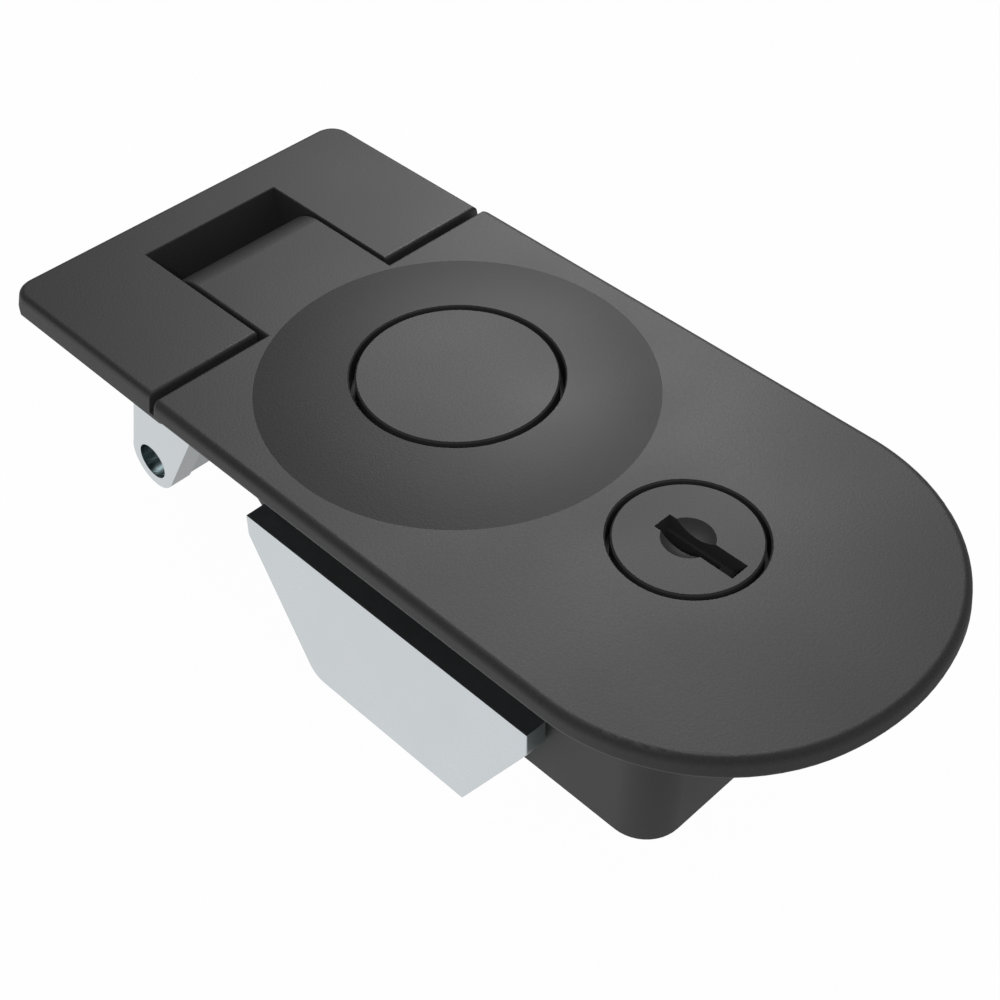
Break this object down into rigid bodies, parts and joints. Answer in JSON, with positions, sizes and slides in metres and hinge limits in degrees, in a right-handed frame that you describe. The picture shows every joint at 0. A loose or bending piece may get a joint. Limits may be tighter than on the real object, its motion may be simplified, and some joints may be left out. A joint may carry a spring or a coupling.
{
  "type": "sealed lever latch",
  "caption": "Flush sealed lever latch: round-ended lever with push button and key lock hinges up from a U-shaped frame and swings a pawl; a U bracket clamps it to the panel.",
  "frame": {"origin": "on the button's axis, in the plane of the gasket's underside, which is the panel's outer face", "axes": "+X along the latch towards the lever's round end, +Z out of the panel, +Y across the latch"},
  "size_m": [0.1236, 0.0568, 0.0405],
  "materials": {
    "black_plastic": "fine textured matt",
    "button_plastic": "smooth matt",
    "inner_plastic": "smooth",
    "seal_rubber": "matt",
    "zinc_plate": "zinc plated, satin",
    "steel": "plated"
  },
  "bodies": {
    "housing_body": {"housing": "black_plastic", "gasket": "seal_rubber", "shaft_seals": "seal_rubber", "keeper": "zinc_plate", "keeper_screws": "steel"},
    "lever_body": {"lever": "black_plastic", "pivot_shaft": "steel", "shaft_screws": "steel", "lever_spring": "steel", "pawl": "zinc_plate", "button_seal": "seal_rubber", "button_spring": "steel", "catch_carrier": "inner_plastic", "carrier_screws": "steel", "catch_spring": "steel", "lock_barrel": "zinc_plate", "lock_clip": "steel", "lock_seal": "seal_rubber"},
    "button_body": {"button": "button_plastic"},
    "catch_body": {"catch": "steel"},
    "lock_body": {"lock_plug": "button_plastic", "lock_cam": "zinc_plate", "cam_screw": "steel"},
    "bracket_body": {"clamp_bracket": "zinc_plate", "clamp_screws": "steel", "clamp_washers": "steel"}
  },
  "joints": [
    {"name": "lever_hinge", "type": "hinge", "parent": "housing_body", "child": "lever_body", "pos_m": [-0.0378, 0, -0.0026], "axis": [0, -1, 0], "range_deg": [0, 60], "deforming": ["lever_spring"]},
    {"name": "button_press", "type": "slide", "parent": "lever_body", "child": "button_body", "axis": [0, 0, -1], "range_m": [0, 0.003], "stiffness_N_per_m": 800, "springref_m": -0.002, "deforming": ["button_spring", "catch_spring"]},
    {"name": "catch_slide", "type": "slide", "parent": "lever_body", "child": "catch_body", "axis": [-1, 0, 0], "range_m": [0, 0.003]},
    {"name": "lock_turn", "type": "hinge", "parent": "lever_body", "child": "lock_body", "pos_m": [0.037, 0, 0], "axis": [0, 0, 1], "range_deg": [0, 90]},
    {"name": "bracket_slide", "type": "slide", "parent": "housing_body", "child": "bracket_body", "axis": [0, 0, 1], "range_m": [0, 0.0058]}
  ],
  "couplings": [
    {"joint": "catch_slide", "follows": "button_press", "ratio": 1}
  ]
}
